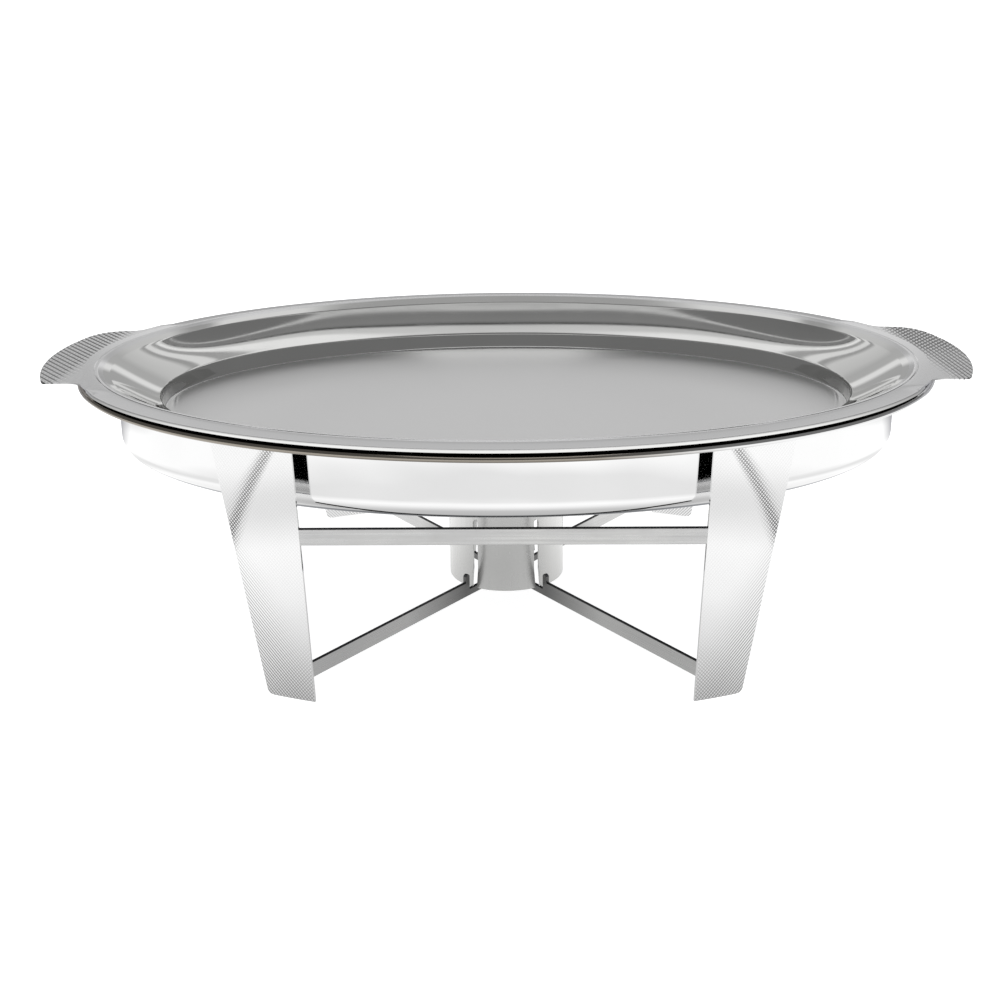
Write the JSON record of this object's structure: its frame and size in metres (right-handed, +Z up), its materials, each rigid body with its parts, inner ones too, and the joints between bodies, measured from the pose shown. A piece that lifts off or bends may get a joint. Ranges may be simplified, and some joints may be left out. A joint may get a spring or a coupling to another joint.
{
  "type": "oval buffet chafer",
  "caption": "Oval steel buffet chafer without lid: lift-out food tray and water pan on a legged stand with a slotted fuel can holder.",
  "frame": {"origin": "on the table, under the middle of the oval", "axes": "+X along the oval's length, +Y towards the rear, +Z up"},
  "size_m": [0.69, 0.4399, 0.196],
  "materials": {
    "tray_satin": "satin stainless steel, polished rolled edge",
    "handle_embossed": "satin with an embossed diamond grid",
    "pan_mirror": "mirror-polished stainless steel",
    "leg_embossed": "embossed diamond grid",
    "bar_steel": "brushed flat bar",
    "holder_steel": "brushed sheet"
  },
  "bodies": {
    "stand": {"support_ring": "bar_steel", "front_left_leg": "leg_embossed", "front_right_leg": "leg_embossed", "rear_left_leg": "leg_embossed", "rear_right_leg": "leg_embossed", "front_crossbar": "bar_steel", "rear_crossbar": "bar_steel", "brace_bar_upper_lap": "bar_steel", "brace_bar_lower_lap": "bar_steel"},
    "water_pan": {"water_pan": "pan_mirror"},
    "food_tray": {"food_tray": "tray_satin", "left_handle_plate": "handle_embossed", "right_handle_plate": "handle_embossed"},
    "fuel_can_holder": {"fuel_can_holder": "holder_steel"}
  },
  "joints": [
    {"name": "water_pan_lift", "type": "slide", "parent": "stand", "child": "water_pan", "axis": [0, 0, 1], "range_m": [0, 0.12]},
    {"name": "food_tray_lift", "type": "slide", "parent": "water_pan", "child": "food_tray", "axis": [0, 0, 1], "range_m": [0, 0.08]},
    {"name": "fuel_holder_lift", "type": "slide", "parent": "stand", "child": "fuel_can_holder", "axis": [0, 0, 1], "range_m": [0, 0.04]}
  ]
}
